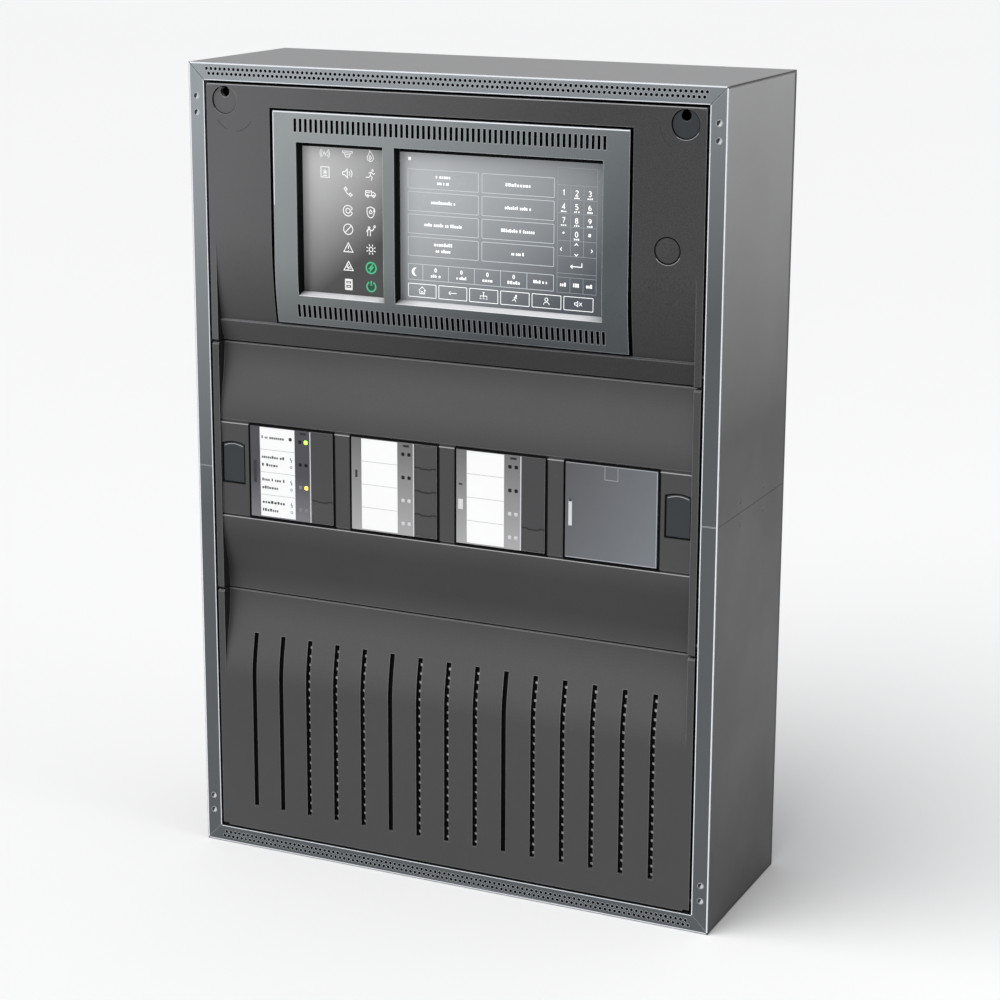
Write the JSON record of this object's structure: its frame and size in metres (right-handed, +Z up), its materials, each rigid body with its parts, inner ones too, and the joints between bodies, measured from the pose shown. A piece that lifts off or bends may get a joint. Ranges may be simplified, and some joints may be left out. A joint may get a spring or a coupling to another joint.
{
  "type": "fire alarm control panel",
  "caption": "Wall-hung fire alarm panel: steel housing, fold-down covers, touch-screen controller and a row of plug-in modules with keys and lamps.",
  "frame": {"origin": "middle of the four wall holes, on the back face that lies on the wall", "axes": "+Z up, +Y out of the back face into the wall, +X to the viewer's right; the front looks along -Y"},
  "size_m": [0.44, 0.149, 0.638],
  "materials": {
    "housing_paint": "satin powder coat",
    "zinc_steel": "zinc plated",
    "rivet_paint": "painted",
    "screw_steel": "bright zinc",
    "membrane_rubber": "matt",
    "stud_brass": "bright",
    "case_plastic": "moulded",
    "circuit_board": "solder mask",
    "bezel_plastic": "metallic grey paint",
    "lens_plastic": "clear over print",
    "screen_glass": "polished",
    "battery_plastic": "moulded",
    "supply_steel": "painted",
    "terminal_plastic": "moulded",
    "red_lead": "insulation",
    "black_lead": "insulation",
    "blank_plastic": "semi-gloss",
    "cover_plastic": "fine textured moulding",
    "dark_plastic": "semi-gloss",
    "baffle_plastic": "matt",
    "filter_cloth": "non-woven mat",
    "module_plastic": "moulded",
    "smoke_plastic": "smoke-grey clear",
    "label_card": "card insert",
    "lamp_plastic": "diffusing lens",
    "key_plastic": "moulded"
  },
  "bodies": {
    "housing": {"upper_shell": "housing_paint", "lower_shell": "housing_paint", "top_panel": "housing_paint", "bottom_panel": "housing_paint", "splice_plates": "zinc_steel", "seam_rivets": "rivet_paint", "flange_screws": "screw_steel", "upright_left": "zinc_steel", "upright_right": "zinc_steel", "hinge_pins": "screw_steel", "cable_membrane": "membrane_rubber", "earth_stud": "stud_brass", "controller_frame": "zinc_steel", "controller_standoffs": "screw_steel", "controller_case": "case_plastic", "controller_board": "circuit_board", "controller_bezel": "bezel_plastic", "indicator_lens": "lens_plastic", "indicator_board": "circuit_board", "display_module": "case_plastic", "touch_glass": "screen_glass", "module_rail": "zinc_steel", "battery_tray": "zinc_steel", "battery_left": "battery_plastic", "battery_right": "battery_plastic", "battery_terminals": "screw_steel", "battery_strap": "zinc_steel", "power_supply": "supply_steel", "power_terminals": "terminal_plastic", "battery_lead_red": "red_lead", "battery_lead_black": "black_lead", "blank_plate": "blank_plastic", "module_1_case": "module_plastic", "module_1_fascia": "smoke_plastic", "module_1_label": "label_card", "module_1_leds": "lamp_plastic", "module_2_case": "module_plastic", "module_2_fascia": "smoke_plastic", "module_2_label": "label_card", "module_2_leds": "lamp_plastic", "module_3_case": "module_plastic", "module_3_fascia": "smoke_plastic", "module_3_label": "label_card", "module_3_leds": "lamp_plastic"},
    "upper_cover": {"upper_cover": "cover_plastic", "switch_blank": "cover_plastic"},
    "lock_left": {"lock_left": "cover_plastic"},
    "lock_right": {"lock_right": "dark_plastic"},
    "middle_cover": {"middle_cover": "cover_plastic"},
    "latch_left": {"latch_left": "dark_plastic"},
    "latch_right": {"latch_right": "dark_plastic"},
    "lower_cover": {"lower_cover": "cover_plastic", "vent_baffle": "baffle_plastic", "filter_mat": "filter_cloth"},
    "module_1_key": {"module_1_key": "key_plastic"},
    "module_2_key_1": {"module_2_key_1": "key_plastic"},
    "module_2_key_2": {"module_2_key_2": "key_plastic"},
    "module_2_key_3": {"module_2_key_3": "key_plastic"},
    "module_2_key_4": {"module_2_key_4": "key_plastic"},
    "module_3_key": {"module_3_key": "key_plastic"}
  },
  "joints": [
    {"name": "upper_cover_hinge", "type": "hinge", "parent": "housing", "child": "upper_cover", "pos_m": [0, -0.1445, 0.11015], "axis": [1, 0, 0], "range_deg": [0, 90]},
    {"name": "middle_cover_hinge", "type": "hinge", "parent": "housing", "child": "middle_cover", "pos_m": [0, -0.1445, -0.09285], "axis": [1, 0, 0], "range_deg": [0, 90]},
    {"name": "lower_cover_hinge", "type": "hinge", "parent": "housing", "child": "lower_cover", "pos_m": [0, -0.1445, -0.2955], "axis": [1, 0, 0], "range_deg": [0, 90]},
    {"name": "left_lock_turn", "type": "hinge", "parent": "upper_cover", "child": "lock_left", "pos_m": [-0.1885, -0.14, 0.291], "axis": [0, 1, 0], "range_deg": [0, 90]},
    {"name": "right_lock_turn", "type": "hinge", "parent": "upper_cover", "child": "lock_right", "pos_m": [0.1885, -0.14, 0.291], "axis": [0, -1, 0], "range_deg": [0, 90]},
    {"name": "left_latch_press", "type": "hinge", "parent": "middle_cover", "child": "latch_left", "pos_m": [-0.1883, -0.1415, -0.009], "axis": [-1, 0, 0], "range_deg": [0, 12], "stiffness_Nm_per_rad": 0.08},
    {"name": "right_latch_press", "type": "hinge", "parent": "middle_cover", "child": "latch_right", "pos_m": [0.1883, -0.1415, -0.009], "axis": [-1, 0, 0], "range_deg": [0, 12], "stiffness_Nm_per_rad": 0.08},
    {"name": "module_1_key_press", "type": "slide", "parent": "housing", "child": "module_1_key", "axis": [0, 1, 0], "range_m": [0, 0.0008], "stiffness_N_per_m": 400},
    {"name": "module_2_key_1_press", "type": "slide", "parent": "housing", "child": "module_2_key_1", "axis": [0, 1, 0], "range_m": [0, 0.0008], "stiffness_N_per_m": 400},
    {"name": "module_2_key_2_press", "type": "slide", "parent": "housing", "child": "module_2_key_2", "axis": [0, 1, 0], "range_m": [0, 0.0008], "stiffness_N_per_m": 400},
    {"name": "module_2_key_3_press", "type": "slide", "parent": "housing", "child": "module_2_key_3", "axis": [0, 1, 0], "range_m": [0, 0.0008], "stiffness_N_per_m": 400},
    {"name": "module_2_key_4_press", "type": "slide", "parent": "housing", "child": "module_2_key_4", "axis": [0, 1, 0], "range_m": [0, 0.0008], "stiffness_N_per_m": 400},
    {"name": "module_3_key_press", "type": "slide", "parent": "housing", "child": "module_3_key", "axis": [0, 1, 0], "range_m": [0, 0.0008], "stiffness_N_per_m": 400}
  ]
}
